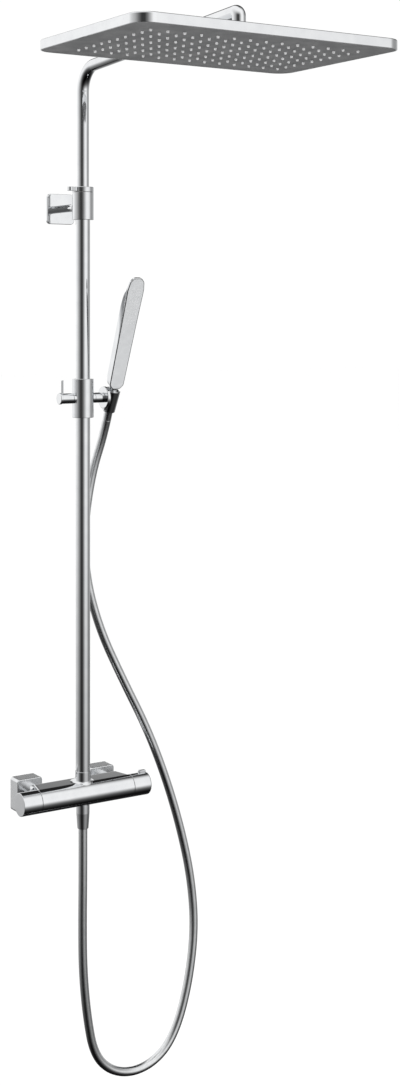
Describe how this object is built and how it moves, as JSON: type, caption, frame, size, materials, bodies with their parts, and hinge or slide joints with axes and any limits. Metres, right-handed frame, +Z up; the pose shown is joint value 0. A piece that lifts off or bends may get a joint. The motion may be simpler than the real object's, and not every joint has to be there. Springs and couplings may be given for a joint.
{
  "type": "rainfall shower column",
  "caption": "Wall-held shower column: thermostatic bar valve, telescopic riser with overhead arm, tilting rain head, sliding holder with handset and hanging hose.",
  "frame": {"origin": "on the wall plane, midway between the two inlets, at the height of the inlets", "axes": "+X along the valve to the right seen from the bather, +Y into the wall, +Z up"},
  "size_m": [0.502, 0.722, 1.8906],
  "materials": {
    "polished_chrome": "mirror polished chrome plating",
    "plain_brass": "machined",
    "white_engineering_plastic": "moulded",
    "black_rubber": "moulded",
    "grey_silicone": "soft moulded silicone",
    "matte_grey_plate": "fine matte",
    "pale_grey_face": "satin",
    "stainless_steel": "plain",
    "metal_look_hose": "smooth silver hose"
  },
  "bodies": {
    "valve": {"valve_body": "polished_chrome", "thermostat_cartridge": "white_engineering_plastic", "diverter_cartridge": "white_engineering_plastic", "temperature_stop_ring": "white_engineering_plastic", "s_union_left": "plain_brass", "s_union_right": "plain_brass", "escutcheon_left": "polished_chrome", "escutcheon_right": "polished_chrome", "union_nut_left": "polished_chrome", "union_nut_right": "polished_chrome", "inlet_filter_washers": "black_rubber", "check_valves": "white_engineering_plastic", "riser_lower_tube": "polished_chrome", "riser_seals": "black_rubber", "riser_grub_screw": "stainless_steel", "riser_top_bush": "white_engineering_plastic", "bracket_sleeve": "polished_chrome", "clamp_collet": "white_engineering_plastic", "bracket_rod": "polished_chrome", "bracket_rod_collar": "polished_chrome", "bracket_plate": "polished_chrome", "bracket_fixing": "stainless_steel", "bracket_screws": "stainless_steel", "hose_outlet_nut": "polished_chrome", "hose_outlet_washer": "black_rubber", "shower_hose": "metal_look_hose"},
    "temperature_control": {"temperature_knob": "polished_chrome", "temperature_spindle": "stainless_steel", "temperature_knob_screw": "stainless_steel", "button_spring": "stainless_steel"},
    "safety_stop": {"safety_button": "polished_chrome"},
    "flow_control": {"flow_knob": "polished_chrome", "diverter_spindle": "stainless_steel", "flow_knob_screw": "stainless_steel"},
    "telescope": {"riser_guide_sleeve": "white_engineering_plastic", "riser_piston_seal": "black_rubber"},
    "arm": {"upper_tube_arm": "polished_chrome", "riser_end_plug": "plain_brass", "ball_stem": "polished_chrome"},
    "liner": {"ball_liner": "white_engineering_plastic"},
    "rain_head": {"head_shell": "polished_chrome", "head_socket_collar": "polished_chrome", "head_face_plate": "matte_grey_plate", "head_nozzle_mat": "grey_silicone", "head_clamp_frame": "white_engineering_plastic", "head_screws": "stainless_steel"},
    "clamp": {"clamp_ring": "polished_chrome"},
    "slider": {"slider_sleeve": "polished_chrome", "slider_bush": "white_engineering_plastic", "pivot_rod": "polished_chrome"},
    "lock": {"lock_lever": "polished_chrome", "lock_pin": "polished_chrome", "lock_screw": "stainless_steel"},
    "holder": {"holder_cone": "polished_chrome"},
    "handset": {"hose_cone_nut": "polished_chrome", "handset_washer": "black_rubber", "handset_body": "polished_chrome", "handset_face": "pale_grey_face", "handset_nozzles": "grey_silicone"}
  },
  "joints": [
    {"name": "temperature_turn", "type": "hinge", "parent": "valve", "child": "temperature_control", "pos_m": [0.112, -0.098, 0.01], "axis": [1, 0, 0], "range_deg": [-180, 45]},
    {"name": "safety_press", "type": "slide", "parent": "temperature_control", "child": "safety_stop", "axis": [0, 0, -1], "range_m": [0, 0.0012], "stiffness_N_per_m": 500, "springref_m": -0.002, "deforming": ["button_spring"]},
    {"name": "flow_turn", "type": "hinge", "parent": "valve", "child": "flow_control", "pos_m": [-0.112, -0.098, 0.01], "axis": [1, 0, 0], "range_deg": [-90, 90]},
    {"name": "riser_telescope", "type": "slide", "parent": "valve", "child": "telescope", "axis": [0, 0, 1], "range_m": [-0.12, 0.08]},
    {"name": "arm_swivel", "type": "hinge", "parent": "telescope", "child": "arm", "pos_m": [0, -0.092, 0.93], "axis": [0, 0, 1], "range_deg": [-60, 60]},
    {"name": "head_tilt_fore_aft", "type": "hinge", "parent": "arm", "child": "liner", "pos_m": [0, -0.599, 1.31432], "axis": [1, 0, 0], "range_deg": [-10, 3]},
    {"name": "head_tilt_side", "type": "hinge", "parent": "liner", "child": "rain_head", "pos_m": [0, -0.599, 1.31432], "axis": [0, 1, 0], "range_deg": [-10, 10]},
    {"name": "clamp_turn", "type": "hinge", "parent": "valve", "child": "clamp", "pos_m": [0, -0.092, 1.1], "axis": [0, 0, 1], "range_deg": [0, 60]},
    {"name": "slider_height", "type": "slide", "parent": "valve", "child": "slider", "axis": [0, 0, 1], "range_m": [-0.4, 0.237], "deforming": ["shower_hose"]},
    {"name": "lock_turn", "type": "hinge", "parent": "slider", "child": "lock", "pos_m": [-0.03, -0.092, 0.724], "axis": [1, 0, 0], "range_deg": [0, 90]},
    {"name": "holder_tilt", "type": "hinge", "parent": "slider", "child": "holder", "pos_m": [0.044, -0.092, 0.724], "axis": [1, 0, 0], "range_deg": [-30, 35], "deforming": ["shower_hose"]},
    {"name": "handset_lift", "type": "slide", "parent": "holder", "child": "handset", "axis": [0, -0.3746, 0.9272], "range_m": [0, 0.05], "deforming": ["shower_hose"]}
  ]
}
